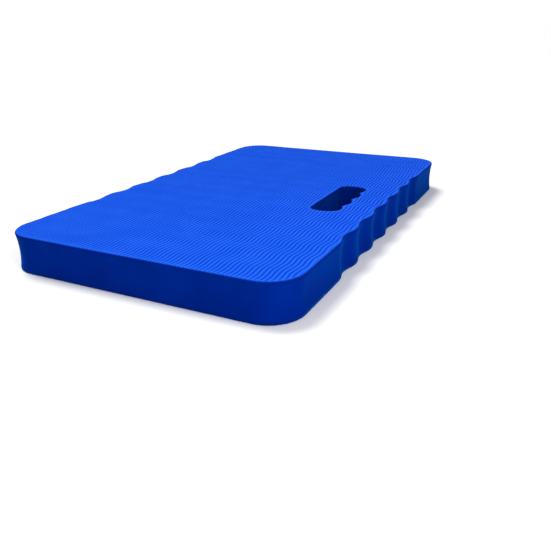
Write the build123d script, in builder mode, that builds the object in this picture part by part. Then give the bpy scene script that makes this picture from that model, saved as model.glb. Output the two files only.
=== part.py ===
from build123d import *
import os

# A garden kneeling pad: one die-cut slab of closed-cell foam with a tougher moulded skin on each face.
# All sizes are in millimetres. The pad lies flat: X runs along its length, Y across its width and Z up.
# The origin is at the middle of its underside, and the hand slot is beside the -Y edge.

# Driving dimensions of the slab
PAD_LENGTH = 457.2
PAD_WIDTH = 279.4
PAD_THICKNESS = 35.0
CORNER_RADIUS = 30.0
SKIN_THICKNESS = 2.0
RIM_RADIUS = 1.2

# A row of shallow scallops ripples the middle of each long edge
SCALLOP_COUNT = 6
SCALLOP_PITCH = 43.5
SCALLOP_DEPTH = 3.6

# The hand slot: straight inside, bowed at both ends, four finger lobes on the side of the nearer edge
SLOT_LENGTH = 100.0
SLOT_WIDTH = 31.0
SLOT_EDGE_WEB = 33.0
SLOT_END_BOW = 3.5
SLOT_INNER_CORNER_RADIUS = 10.0
SLOT_OUTER_CORNER_RADIUS = 5.0
LOBE_PITCH = 27.0
LOBE_DEPTH = 5.5
END_LOBE_DEPTH = 4.0
LOBE_CREST_RADIUS = 4.0

# Worked-out places round the pad's outline; a scallop changes from crest to valley at its flank
half_length = PAD_LENGTH / 2
half_width = PAD_WIDTH / 2
quarter_pitch = SCALLOP_PITCH / 4
scallop_flank_y = half_width - SCALLOP_DEPTH / 2
scallop_reach = SCALLOP_COUNT * SCALLOP_PITCH / 2

# Worked-out places round the hand slot
lobe_floor_y = -half_width + SLOT_EDGE_WEB
lobe_crest_y = lobe_floor_y + LOBE_DEPTH
slot_inner_y = lobe_floor_y + SLOT_WIDTH
slot_corner_x = SLOT_LENGTH / 2 - SLOT_END_BOW

core_bottom = SKIN_THICKNESS
core_thickness = PAD_THICKNESS - 2 * SKIN_THICKNESS
top_skin_bottom = PAD_THICKNESS - SKIN_THICKNESS

# Hand slot outline, drawn anticlockwise
with BuildSketch() as slot_plan:
    with BuildLine():
        Line((slot_corner_x, slot_inner_y), (-slot_corner_x, slot_inner_y))
        SagittaArc((-slot_corner_x, slot_inner_y), (-slot_corner_x, lobe_crest_y), -SLOT_END_BOW)
        SagittaArc((-slot_corner_x, lobe_crest_y), (-LOBE_PITCH, lobe_crest_y), -END_LOBE_DEPTH)
        SagittaArc((-LOBE_PITCH, lobe_crest_y), (0, lobe_crest_y), -LOBE_DEPTH)
        SagittaArc((0, lobe_crest_y), (LOBE_PITCH, lobe_crest_y), -LOBE_DEPTH)
        SagittaArc((LOBE_PITCH, lobe_crest_y), (slot_corner_x, lobe_crest_y), -END_LOBE_DEPTH)
        SagittaArc((slot_corner_x, lobe_crest_y), (slot_corner_x, slot_inner_y), -SLOT_END_BOW)
    make_face()
    lobe_crests = slot_plan.vertices().filter_by_position(Axis.X, -LOBE_PITCH, LOBE_PITCH)
    fillet(lobe_crests, LOBE_CREST_RADIUS)
    slot_corners = slot_plan.vertices().filter_by(lambda v: abs(abs(v.X) - slot_corner_x) < 0.01)
    fillet(slot_corners.sort_by(Axis.Y)[:2], SLOT_OUTER_CORNER_RADIUS)
    fillet(slot_plan.vertices().sort_by(Axis.Y)[-2:], SLOT_INNER_CORNER_RADIUS)

# Plan shape of the whole pad, shared by the core and both skins. The +Y half of the outline is drawn
# from the +X end to the -X end as arcs that run smoothly into each other, then mirrored.
with BuildSketch() as pad_plan:
    with BuildLine():
        Polyline((half_length, 0), (half_length, half_width), (scallop_reach, half_width))
        for scallop in range(SCALLOP_COUNT):
            crest_x = scallop_reach - scallop * SCALLOP_PITCH
            crest = TangentArc(
                (crest_x, half_width), (crest_x - quarter_pitch, scallop_flank_y), tangent=(-1, 0)
            )
            valley = TangentArc(
                crest @ 1, (crest_x - 3 * quarter_pitch, scallop_flank_y), tangent=crest % 1
            )
            TangentArc(valley @ 1, (crest_x - SCALLOP_PITCH, half_width), tangent=valley % 1)
        Polyline((-scallop_reach, half_width), (-half_length, half_width), (-half_length, 0))
        mirror(about=Plane.XZ)
    make_face()
    pad_corners = pad_plan.vertices().filter_by(
        lambda v: abs(abs(v.X) - half_length) + abs(abs(v.Y) - half_width) < 0.01
    )
    fillet(pad_corners, CORNER_RADIUS)
    add(slot_plan.sketch, mode=Mode.SUBTRACT)

# Soft closed-cell foam body, which gives the pad its cushioning
with BuildPart() as foam_core:
    with BuildSketch(Plane.XY.offset(core_bottom)):
        add(pad_plan.sketch)
    extrude(amount=core_thickness)
foam_core.part.label = "foam_core"

# Kneeling face: a denser embossed skin whose outer rim is slightly rounded
with BuildPart() as top_skin:
    with BuildSketch(Plane.XY.offset(top_skin_bottom)):
        add(pad_plan.sketch)
    extrude(amount=SKIN_THICKNESS)
    fillet(top_skin.faces().sort_by(Axis.Z)[-1].edges(), RIM_RADIUS)
top_skin.part.label = "top_skin"

# Ground face: the same skin, turned over, with its rounded rim on the ground
with BuildPart() as bottom_skin:
    with BuildSketch(Plane.XY):
        add(pad_plan.sketch)
    extrude(amount=SKIN_THICKNESS)
    fillet(bottom_skin.faces().sort_by(Axis.Z)[0].edges(), RIM_RADIUS)
bottom_skin.part.label = "bottom_skin"

os.makedirs("parts", exist_ok=True)
export_step(foam_core.part, "parts/foam_core.step")
export_step(top_skin.part, "parts/top_skin.step")
export_step(bottom_skin.part, "parts/bottom_skin.step")
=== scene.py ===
import bpy
import math
import numpy as np
from mathutils import Matrix, Vector
from mathutils.geometry import delaunay_2d_cdt
from mathutils.kdtree import KDTree


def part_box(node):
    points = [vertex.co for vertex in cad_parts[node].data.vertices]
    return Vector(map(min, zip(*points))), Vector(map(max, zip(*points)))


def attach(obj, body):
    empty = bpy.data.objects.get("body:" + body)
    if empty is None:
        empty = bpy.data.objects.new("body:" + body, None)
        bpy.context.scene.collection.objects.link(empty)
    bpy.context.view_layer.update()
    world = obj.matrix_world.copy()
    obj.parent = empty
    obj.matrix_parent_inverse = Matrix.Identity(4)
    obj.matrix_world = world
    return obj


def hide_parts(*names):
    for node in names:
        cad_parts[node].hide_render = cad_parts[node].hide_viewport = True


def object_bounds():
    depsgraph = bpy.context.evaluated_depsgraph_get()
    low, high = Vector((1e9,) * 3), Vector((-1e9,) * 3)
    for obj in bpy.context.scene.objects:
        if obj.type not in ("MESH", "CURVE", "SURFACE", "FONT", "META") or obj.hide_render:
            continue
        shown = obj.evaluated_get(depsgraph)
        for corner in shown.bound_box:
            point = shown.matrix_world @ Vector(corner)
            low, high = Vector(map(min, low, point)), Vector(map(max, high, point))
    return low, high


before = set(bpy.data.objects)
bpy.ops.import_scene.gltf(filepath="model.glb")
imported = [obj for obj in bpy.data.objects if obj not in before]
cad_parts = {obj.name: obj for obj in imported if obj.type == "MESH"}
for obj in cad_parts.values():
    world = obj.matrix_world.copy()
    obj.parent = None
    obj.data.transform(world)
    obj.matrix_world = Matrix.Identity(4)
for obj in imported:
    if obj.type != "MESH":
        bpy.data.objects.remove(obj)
cad_low, cad_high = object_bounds()

# ---------------------------------------------------------------- sizes, in metres

MM = 0.001
PAD_BOTTOM, PAD_TOP = cad_low.z, cad_high.z
CORE_LOW, CORE_HIGH = (corner.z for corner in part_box("foam_core"))

SAME_PLACE = 0.01 * MM        # points closer than this in height are on one face
KEY_DIGITS = 3                # points that agree to this many decimals of a millimetre are one
EDGE_STEP = 0.6 * MM          # spacing of points along the cut outline
EDGE_SOFTENING = 1.2 * MM     # how far the soft foam blurs the outline's small corners

RIB_PITCH = 3.75 * MM         # across the pad, from crest to crest
RIB_DEPTH = 0.95 * MM         # from crest to groove on the kneeling face
RIM_RIB_SHARE = 0.12          # the ribs run out towards the rim and keep this share of their depth
RIB_RUN_OUT = 4.0 * MM
GROUND_RIB_DEPTH = 0.4 * MM   # the ground face is pressed more lightly
RIB_WAVE_LENGTH = 30.2 * MM   # each rib snakes along the pad
RIB_WAVE_HEIGHT = 0.72 * MM
RIB_WAVE_CREST_X = -203.3 * MM
RIB_CREST_Y = 2.4 * MM        # where the crest of one rib runs; the others follow at the pitch
RIB_BREADTH = 0.75            # below 1 the crests are broader than the grooves
ROWS_PER_RIB = 8
COLUMNS_PER_WAVE = 8
GRID_CLEARANCE = 0.45 * MM    # between the innermost rim ring and the first points of the ribbed grid

RIM_RADIUS = 1.7 * MM         # how far in the rounding between a face and the cut wall reaches
RIM_DROP = 1.3 * MM           # how far the face falls over that rounding
RIM_RINGS = 6
RIM_SHADE_FADE = 1.6                # how soon the cut wall's dark colour takes over on the rounding, as painted shade where it turns down
WALL_HOLLOW = 1.4 * MM        # how far the cut wall draws in at mid height
WALL_RINGS = 18

UNEVENNESS = 0.1 * MM         # slow rise and fall of the soft faces
UNEVENNESS_LENGTH = 130 * MM
UNEVENNESS_SPREAD = (0.7, 2.2)   # shortest and longest wave, as shares of that length
UNEVENNESS_WAVES = 7
UNEVENNESS_SEED = 3
CORNER_LIFT = 0.6 * MM        # the top corners of a soft slab turn up slightly,
LIFT_ALONG, LIFT_ACROSS = 0.4, 0.6   # by these shares along its length and across its width

# ---------------------------------------------------------------- outline of the pad


def cut_loops(node):
    """The closed outlines of a CAD slab's upper face, longest first, each an array of x, y points."""
    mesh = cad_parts[node].data
    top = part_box(node)[1].z
    corner_id, corners, edges = {}, [], {}
    mesh.calc_loop_triangles()
    for triangle in mesh.loop_triangles:
        places = [mesh.vertices[i].co for i in triangle.vertices]
        if min(p.z for p in places) < top - SAME_PLACE:
            continue
        ids = []
        for p in places:
            key = (round(p.x / MM, KEY_DIGITS), round(p.y / MM, KEY_DIGITS))
            if key not in corner_id:
                corner_id[key] = len(corners)
                corners.append((p.x, p.y))
            ids.append(corner_id[key])
        edges.update(dict.fromkeys(zip(ids, ids[1:] + ids[:1])))
    # An edge of one triangle only is on the outline.
    follow = {a: b for a, b in edges if (b, a) not in edges}
    loops = []
    while follow:
        start, at = next(iter(follow.items()))
        del follow[start]
        loop = [start]
        while at != start:
            loop.append(at)
            at = follow.pop(at)
        loops.append(np.array([corners[i] for i in loop]))
    return sorted(loops, key=len_round, reverse=True)


def len_round(loop):
    """The length of a closed outline."""
    return float(np.linalg.norm(np.roll(loop, -1, 0) - loop, axis=1).sum())


def softened(loop):
    """The same outline in equal steps, with its small corners blurred as soft foam blurs them."""
    closed = np.vstack([loop, loop[:1]])
    along = np.concatenate([[0], np.cumsum(np.linalg.norm(np.diff(closed, axis=0), axis=1))])
    count = int(round(along[-1] / EDGE_STEP))
    steps = np.arange(count) * along[-1] / count
    points = np.stack([np.interp(steps, along, closed[:, k]) for k in (0, 1)], 1)
    offsets = np.minimum(np.arange(count), count - np.arange(count)) * EDGE_STEP
    kernel = np.exp(-0.5 * (offsets / EDGE_SOFTENING) ** 2)
    spectrum = np.fft.fft(kernel / kernel.sum())
    return np.stack([np.fft.ifft(np.fft.fft(points[:, k]) * spectrum).real for k in (0, 1)], 1)


def inward(loop):
    """Unit directions from the outline into the foam."""
    tangent = np.roll(loop, -1, 0) - np.roll(loop, 1, 0)
    tangent /= np.linalg.norm(tangent, axis=1, keepdims=True)
    return np.stack([-tangent[:, 1], tangent[:, 0]], 1)


LOOPS = [softened(loop) for loop in cut_loops("foam_core")]
INWARD = [inward(loop) for loop in LOOPS]

# ---------------------------------------------------------------- the shape as formulas


def slow_noise(x, y):
    """A smooth field between about -2 and 2, the same each run."""
    draw = np.random.default_rng(UNEVENNESS_SEED)
    total = np.zeros_like(x)
    for _ in range(UNEVENNESS_WAVES):
        angle, phase = draw.uniform(0, math.tau, 2)
        length = UNEVENNESS_LENGTH * draw.uniform(*UNEVENNESS_SPREAD)
        total += np.sin((x * math.cos(angle) + y * math.sin(angle)) * math.tau / length + phase)
    return total / math.sqrt(UNEVENNESS_WAVES)


def rib_shift(x):
    """How far a rib has swung across the pad at this place along it."""
    return RIB_WAVE_HEIGHT * np.cos(math.tau * (x - RIB_WAVE_CREST_X) / RIB_WAVE_LENGTH)


def rib_profile(x, y):
    """1 on a rib's crest and 0 in the groove between two ribs."""
    across = (y - rib_shift(x) - RIB_CREST_Y) / RIB_PITCH
    return (0.5 + 0.5 * np.cos(math.tau * across)) ** RIB_BREADTH


def wall_inset(z):
    """How far the core's cut wall stands in from the outline at height z: hollow at mid height."""
    half = (CORE_HIGH - CORE_LOW) / 2
    t = (z - CORE_LOW) / half - 1
    return WALL_HOLLOW * (1 - t * t)


def rounding(distance):
    """How far a face has dropped at this distance in from its rim."""
    left = np.clip(1 - distance / RIM_RADIUS, 0, 1)
    return RIM_DROP * (1 - np.sqrt(1 - left * left))


def corner_lift(x, y):
    """Zero at the corners and lower towards the middle of the pad."""
    along, across = x / cad_high.x, y / cad_high.y
    return CORNER_LIFT * (LIFT_ALONG * along**2 + LIFT_ACROSS * across**2 - 1)


def rib_groove(x, y, distance):
    """How deep the pressed grooves are, from 0 on a crest to 1, shallower close to a cut edge."""
    run_out = np.clip(distance / RIB_RUN_OUT, 0, 1)
    return (RIM_RIB_SHARE + (1 - RIM_RIB_SHARE) * run_out) * (1 - rib_profile(x, y))


def top_height(x, y, distance):
    soft = UNEVENNESS * (slow_noise(x, y) - 1)
    grooves = RIB_DEPTH * rib_groove(x, y, distance)
    return PAD_TOP - grooves + soft + corner_lift(x, y) - rounding(distance)


def ground_height(x, y, distance):
    return PAD_BOTTOM + GROUND_RIB_DEPTH * rib_groove(x, y, distance) + rounding(distance)


# ---------------------------------------------------------------- mesh building


# The groove layer paints shade into the grooves. The cut layer paints the cut wall's colour, itself
# partly painted shade, onto the skirt, and paints shade down the rim rounding.
GROOVE_SHADE_LAYER, CUT_AND_RIM_SHADE_LAYER = "groove", "cut_and_shade"


class Builder:
    """Collects points and faces for one mesh."""

    def __init__(self):
        self.points, self.faces, self.count = [], [], 0
        self.grooves, self.cut_and_shade_values = [], []

    def add_points(self, array, groove=0.0, cut_and_shade=0.0):
        """Adds points, with how deep each lies in a groove and how far onto the cut edge; the material
        paints shade by both.
        """
        self.points.append(np.asarray(array, float))
        self.grooves.append(np.broadcast_to(groove, len(array)))
        self.cut_and_shade_values.append(np.broadcast_to(cut_and_shade, len(array)))
        first = self.count
        self.count += len(array)
        return np.arange(first, self.count)

    def add_faces(self, corners, turned_over=False):
        self.faces.extend((corners[:, ::-1] if turned_over else corners).tolist())

    def band(self, lower, upper, turned_over=False):
        """Quads between two closed rings of the same length."""
        corners = np.stack([lower, np.roll(lower, -1), np.roll(upper, -1), upper], 1)
        self.add_faces(corners, turned_over)

    def object(self, name, material):
        """Makes the object, smoothly shaded, with the two layers of values that its material reads to
        paint shade into the grooves and onto the rim.
        """
        mesh = bpy.data.meshes.new(name)
        points = np.concatenate(self.points)
        mesh.from_pydata(points.tolist(), [], self.faces)
        mesh.update()
        mesh.polygons.foreach_set("use_smooth", [True] * len(mesh.polygons))
        mesh.materials.append(material)
        for label, values in ((GROOVE_SHADE_LAYER, self.grooves), (CUT_AND_RIM_SHADE_LAYER, self.cut_and_shade_values)):
            layer = mesh.attributes.new(label, "FLOAT", "POINT")
            layer.data.foreach_set("value", np.concatenate(values))
        piece = bpy.data.objects.new(name, mesh)
        bpy.context.scene.collection.objects.link(piece)
        return piece


def inset_rings(distance):
    """The outlines of the pad and its slot, drawn in by a distance."""
    return [loop + normal * distance for loop, normal in zip(LOOPS, INWARD)]


def at_height(flat, z):
    return np.column_stack([flat, np.broadcast_to(z, len(flat))])


def inside(points, loops):
    """True where a point is in the foam: inside the outline and outside the slot."""
    found = np.zeros(len(points), bool)
    for loop in loops:
        for (ax, ay), (bx, by) in zip(loop, np.roll(loop, -1, 0)):
            crosses = (ay > points[:, 1]) != (by > points[:, 1])
            rows = np.nonzero(crosses)[0]
            if len(rows):
                meet = ax + (points[rows, 1] - ay) * (bx - ax) / (by - ay)
                found[rows[points[rows, 0] < meet]] ^= True
    return found


def distance_to(loops, points):
    """How far each point is from the nearest point of the loops."""
    ring = np.concatenate(loops)
    tree = KDTree(len(ring))
    for i, (x, y) in enumerate(ring):
        tree.insert((x, y, 0), i)
    tree.balance()
    return np.array([tree.find((x, y, 0))[2] for x, y in points])


def face_grid(loops):
    """Points on lines that follow the ribs, kept clear of the rim."""
    step_x = RIB_WAVE_LENGTH / COLUMNS_PER_WAVE
    step_y = RIB_PITCH / ROWS_PER_RIB
    columns = np.arange(math.ceil(cad_low.x / step_x), cad_high.x / step_x) * step_x
    rows = np.arange(math.ceil(cad_low.y / step_y) - 2, cad_high.y / step_y + 2) * step_y
    x, y = (a.ravel() for a in np.meshgrid(columns, rows))
    points = np.column_stack([x, y + rib_shift(x)])
    points = points[inside(points, loops)]
    distance = distance_to(loops, points)
    clear = distance > GRID_CLEARANCE
    return points[clear], distance[clear] + RIM_RADIUS


WHOLE_HULL = 0                # the triangulation's output kind; what lies outside is dropped afterwards
MERGE_WITHIN = 1e-7


def fill(builder, ids, plan, loop_lengths, upward):
    """Triangles between the points of a plan view, inside its first loop and outside the others."""
    edges, loops, first = [], [], 0
    for length in loop_lengths:
        around = np.arange(first, first + length)
        edges.extend(np.stack([around, np.roll(around, -1)], 1).tolist())
        loops.append(plan[around])
        first += length
    made = delaunay_2d_cdt([Vector(p) for p in plan], edges, [], WHOLE_HULL, MERGE_WITHIN, True)
    places, triangles, origins = made[0], np.array(made[2]), made[3]
    source = np.array([origin[0] for origin in origins])
    middles = np.array(places)[triangles].mean(1)
    kept = source[triangles[inside(middles, loops)]]
    builder.add_faces(ids[kept], turned_over=not upward)


def ribbed_face(builder, rings, face_height, upward):
    """Fills the innermost rings with a mesh whose rows run along the ribs."""
    loops = inset_rings(RIM_RADIUS)
    grid, distance = face_grid(loops)
    x, y = grid.T
    points = np.column_stack([grid, face_height(x, y, distance)])
    # Each point's groove depth goes with it, to paint shade into the grooves.
    ids = np.concatenate([*rings, builder.add_points(points, groove=rib_groove(x, y, distance))])
    flat = np.concatenate([*loops, grid])
    # The ribs are straight and their cells square in this plan, so neighbours join along the ribs.
    squeeze = (RIB_PITCH / ROWS_PER_RIB) / (RIB_WAVE_LENGTH / COLUMNS_PER_WAVE)
    plan = np.column_stack([flat[:, 0] * squeeze, flat[:, 1] - rib_shift(flat[:, 0])]) / MM
    fill(builder, ids, plan, [len(loop) for loop in loops], upward)


def joint_face(builder, rings, loops, upward):
    """The plain plane across the slab where two layers are bonded."""
    plan = np.concatenate(loops) / MM
    fill(builder, np.concatenate(rings), plan, [len(loop) for loop in loops], upward)


def skin(name, material, face_height, joint_z, upward):
    """A moulded skin: ribbed face, rounded rim, thin cut edge and the plane where it meets the core."""
    builder = Builder()
    joint_loops = inset_rings(wall_inset(joint_z))
    # The skirt takes the cut wall's colour in full, which is partly painted shade.
    joint_ids = [builder.add_points(at_height(loop, joint_z), cut_and_shade=1.0) for loop in joint_loops]
    levels = [joint_ids]
    for k in range(RIM_RINGS + 1):
        distance = RIM_RADIUS * (1 - math.cos(math.pi / 2 * k / RIM_RINGS))
        # Towards the rim the rounding takes on the dark cut colour: painted shade where it turns away
        # from the light.
        cut_and_shade = min(1.0, RIM_SHADE_FADE * (1 - k / RIM_RINGS))
        level = []
        for loop in inset_rings(distance):
            x, y = loop.T
            ring = at_height(loop, face_height(x, y, distance))
            level.append(builder.add_points(ring, rib_groove(x, y, distance), cut_and_shade))
        levels.append(level)
    for outer, inner in zip(levels, levels[1:]):
        for a, b in zip(outer, inner):
            builder.band(a, b, turned_over=not upward)
    ribbed_face(builder, levels[-1], face_height, upward)
    joint_face(builder, joint_ids, joint_loops, upward=not upward)
    return builder.object(name, material)


def core(name, material):
    """The soft body, whose cut walls are slightly hollow."""
    builder = Builder()
    heights = np.linspace(CORE_LOW, CORE_HIGH, WALL_RINGS)
    levels = []
    for z in heights:
        loops = inset_rings(wall_inset(z))
        levels.append([builder.add_points(at_height(loop, z)) for loop in loops])
    for lower, upper in zip(levels, levels[1:]):
        for a, b in zip(lower, upper):
            builder.band(a, b)
    joint_face(builder, levels[0], inset_rings(wall_inset(CORE_LOW)), upward=False)
    joint_face(builder, levels[-1], inset_rings(wall_inset(CORE_HIGH)), upward=True)
    return builder.object(name, material)


# ---------------------------------------------------------------- materials


# The cut wall's deep blue, darkened partly as painted shade; on the skins it also paints shade down the
# rim rounding.
CUT_WALL_AND_SHADE_COLOUR = (0.0, 0.0165, 0.23, 1)
FUZZ_COLOUR = (0.0, 0.25, 0.75, 1)
FUZZ_ROUGHNESS = 0.32
MOTTLE_SCALE, MOTTLE_DETAIL = 38, 5
MOTTLE_RANGE = (0.3, 0.7)     # below the first the shade shows alone, above the second the colour
GLOSS_SPREAD = 0.08           # how far the roughness varies with the mottle
CELL_BUMP = 0.5


def blend(tree, factor, first, second):
    """A node that goes from the socket first to the plain colour second, and gives its output."""
    mix = tree.nodes.new("ShaderNodeMix")
    mix.data_type = "RGBA"
    mix.inputs["B"].default_value = second
    tree.links.new(factor, mix.inputs["Factor"])
    tree.links.new(first, mix.inputs["A"])
    return mix.outputs["Result"]


def mottled_colour(tree, mottle, colour, shade, layers):
    """A colour that drifts between two tones, with further tones laid on by the mesh's own layers as
    painted shade in the grooves and on the rim.
    """
    tint = tree.nodes.new("ShaderNodeValToRGB")
    for stop, position, tone in zip(tint.color_ramp.elements, MOTTLE_RANGE, (shade, colour)):
        stop.position, stop.color = position, (*tone, 1)
    tree.links.new(mottle, tint.inputs["Fac"])
    base = tint.outputs["Color"]
    for label, tone in layers:
        layer = tree.nodes.new("ShaderNodeAttribute")
        layer.attribute_name = label
        base = blend(tree, layer.outputs["Fac"], base, tone)
    return base


def cell_bump(tree, place, cell_size, cell_depth):
    """The tiny closed cells of the foam."""
    cells = tree.nodes.new("ShaderNodeTexVoronoi")
    cells.inputs["Scale"].default_value = 1 / cell_size
    tree.links.new(place, cells.inputs["Vector"])
    bump = tree.nodes.new("ShaderNodeBump")
    bump.inputs["Strength"].default_value = CELL_BUMP
    bump.inputs["Distance"].default_value = cell_depth
    tree.links.new(cells.outputs["Distance"], bump.inputs["Height"])
    return bump.outputs["Normal"]


def foam_material(name, colour, shade, layers, roughness, gleam, fuzz, cell_size, cell_depth):
    """Closed-cell foam with its mottle, its cells and, where it is cut, a fine fuzz."""
    material = bpy.data.materials.new(name)
    material.use_nodes = True
    tree = material.node_tree
    shader = tree.nodes["Principled BSDF"]
    shader.inputs["Specular IOR Level"].default_value = gleam
    shader.inputs["Sheen Weight"].default_value = fuzz
    shader.inputs["Sheen Roughness"].default_value = FUZZ_ROUGHNESS
    shader.inputs["Sheen Tint"].default_value = FUZZ_COLOUR
    place = tree.nodes.new("ShaderNodeTexCoord").outputs["Object"]

    noise = tree.nodes.new("ShaderNodeTexNoise")
    noise.inputs["Scale"].default_value = MOTTLE_SCALE
    noise.inputs["Detail"].default_value = MOTTLE_DETAIL
    tree.links.new(place, noise.inputs["Vector"])
    mottle = noise.outputs["Fac"]
    gloss = tree.nodes.new("ShaderNodeMapRange")
    gloss.inputs["To Min"].default_value = roughness - GLOSS_SPREAD
    gloss.inputs["To Max"].default_value = roughness + GLOSS_SPREAD
    tree.links.new(mottle, gloss.inputs["Value"])

    tree.links.new(mottled_colour(tree, mottle, colour, shade, layers), shader.inputs["Base Color"])
    tree.links.new(gloss.outputs["Result"], shader.inputs["Roughness"])
    tree.links.new(cell_bump(tree, place, cell_size, cell_depth), shader.inputs["Normal"])
    return material


# The groove tone is painted shade in the grooves, and the cut colour is painted shade on the rim
# rounding.
TOP_FOAM = foam_material(
    "top_skin_foam", colour=(0.02, 0.14, 0.91), shade=(0.014, 0.12, 0.83),
    layers=((GROOVE_SHADE_LAYER, (0.0, 0.034, 0.44, 1)), (CUT_AND_RIM_SHADE_LAYER, CUT_WALL_AND_SHADE_COLOUR)),
    roughness=0.5, gleam=0.004, fuzz=0.0, cell_size=0.5 * MM, cell_depth=0.06 * MM,
)
# The cut walls' colour is far darker than the skins': partly the core's own deeper blue, partly painted
# shade on walls that stand in shadow.
SHADED_CORE_FOAM = foam_material(
    "core_foam", colour=(0.0, 0.0185, 0.25), shade=(0.0, 0.0145, 0.21), layers=(),
    roughness=0.6, gleam=0.001, fuzz=0.5, cell_size=0.4 * MM, cell_depth=0.08 * MM,
)
# The groove tone is painted shade in the grooves of the ground face, and the cut colour is painted
# shade on its rim rounding.
GROUND_FOAM = foam_material(
    "bottom_skin_foam", colour=(0.01, 0.11, 0.8), shade=(0.008, 0.09, 0.74),
    layers=((GROOVE_SHADE_LAYER, (0.0, 0.03, 0.4, 1)), (CUT_AND_RIM_SHADE_LAYER, CUT_WALL_AND_SHADE_COLOUR)),
    roughness=0.55, gleam=0.01, fuzz=0.0, cell_size=0.5 * MM, cell_depth=0.06 * MM,
)

# ---------------------------------------------------------------- the pieces

FOAM_CORE = core("foam_core_cut", SHADED_CORE_FOAM)
TOP_SKIN = skin("top_skin_ribbed", TOP_FOAM, top_height, CORE_HIGH, upward=True)
BOTTOM_SKIN = skin("bottom_skin_ribbed", GROUND_FOAM, ground_height, CORE_LOW, upward=False)
PIECES = [
    (FOAM_CORE, "foam_core", "core_foam"),
    (TOP_SKIN, "top_skin", "top_skin_foam"),
    (BOTTOM_SKIN, "bottom_skin", "bottom_skin_foam"),
]
for piece, node, material_slot in PIECES:
    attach(piece, "root")
    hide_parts(node)

# ---------------------------------------------------------------- floor, light and camera

FLOOR_HALF = 60.0
WHITE = (1, 1, 1, 1)
PAPER_COLOUR = (0.95, 0.95, 0.95, 1)
PAPER_ROUGHNESS = 0.9
SURROUND_STRENGTH = 0.45

floor_signs = ((-1, -1), (1, -1), (1, 1), (-1, 1))
floor_corners = [(x * FLOOR_HALF, y * FLOOR_HALF, PAD_BOTTOM) for x, y in floor_signs]
floor_mesh = bpy.data.meshes.new("studio_floor")
floor_mesh.from_pydata(floor_corners, [], [(0, 1, 2, 3)])
floor = bpy.data.objects.new("studio_floor", floor_mesh)
bpy.context.scene.collection.objects.link(floor)
paper = bpy.data.materials.new("studio_paper")
paper.use_nodes = True
paper_shader = paper.node_tree.nodes["Principled BSDF"]
paper_shader.inputs["Base Color"].default_value = PAPER_COLOUR
paper_shader.inputs["Roughness"].default_value = PAPER_ROUGHNESS
floor_mesh.materials.append(paper)

# The backdrop is plain white to the eye, brighter than the fill light it gives.
world = bpy.data.worlds.new("studio")
bpy.context.scene.world = world
world.use_nodes = True
world_nodes, world_links = world.node_tree.nodes, world.node_tree.links
surround = world_nodes["Background"]
surround.inputs["Color"].default_value = WHITE
surround.inputs["Strength"].default_value = SURROUND_STRENGTH
backdrop = world_nodes.new("ShaderNodeBackground")
backdrop.inputs["Color"].default_value = WHITE
seen = world_nodes.new("ShaderNodeLightPath")
chooser = world_nodes.new("ShaderNodeMixShader")
world_links.new(seen.outputs["Is Camera Ray"], chooser.inputs["Fac"])
world_links.new(surround.outputs["Background"], chooser.inputs[1])
world_links.new(backdrop.outputs["Background"], chooser.inputs[2])
world_links.new(chooser.outputs["Shader"], world_nodes["World Output"].inputs["Surface"])


def soft_sun(name, towards, strength, spread):
    """A large even studio light, far away in the direction towards."""
    data = bpy.data.lights.new(name, "SUN")
    data.energy, data.angle = strength, math.radians(spread)
    lamp = bpy.data.objects.new(name, data)
    bpy.context.scene.collection.objects.link(lamp)
    lamp.rotation_euler = Vector(towards).to_track_quat("Z", "Y").to_euler()


def soft_box(name, place, size, power):
    """A square lamp close by, aimed at the origin, the middle of the pad's underside."""
    data = bpy.data.lights.new(name, "AREA")
    data.energy, data.size = power, size
    lamp = bpy.data.objects.new(name, data)
    bpy.context.scene.collection.objects.link(lamp)
    lamp.location = place
    lamp.rotation_euler = Vector(place).to_track_quat("Z", "Y").to_euler()
    lamp.visible_camera = False


soft_sun("key", towards=(0.2, 0.5, 1.0), strength=2.25, spread=25)
soft_box("fill", place=(-0.46, -0.6, 0.42), size=0.3, power=2.6)

# The camera stands low and close, off the pad's near corner, and looks along its length.
CAMERA_PLACE = Vector((-0.5539, -0.2931, 0.1963))
CAMERA_HEADING = math.radians(26.67)      # from +X towards +Y
CAMERA_DIP = math.radians(22.97)
CAMERA_ROLL = math.radians(-0.64)
FOCAL_LENGTH, SENSOR_WIDTH = 38.15, 36    # in millimetres
NEAREST, FARTHEST = 0.01, 50

level_part = math.cos(CAMERA_DIP)
ahead = Vector((
    math.cos(CAMERA_HEADING) * level_part, math.sin(CAMERA_HEADING) * level_part, -math.sin(CAMERA_DIP)
))
turn = ahead.to_track_quat("-Z", "Y") @ Matrix.Rotation(CAMERA_ROLL, 3, "Z").to_quaternion()
camera_data = bpy.data.cameras.new("camera")
camera_data.sensor_width, camera_data.lens = SENSOR_WIDTH, FOCAL_LENGTH
camera_data.clip_start, camera_data.clip_end = NEAREST, FARTHEST
camera = bpy.data.objects.new("camera", camera_data)
bpy.context.scene.collection.objects.link(camera)
camera.location = CAMERA_PLACE
camera.rotation_mode = "QUATERNION"
camera.rotation_quaternion = turn
bpy.context.scene.camera = camera
bpy.context.scene.view_settings.view_transform = "Standard"
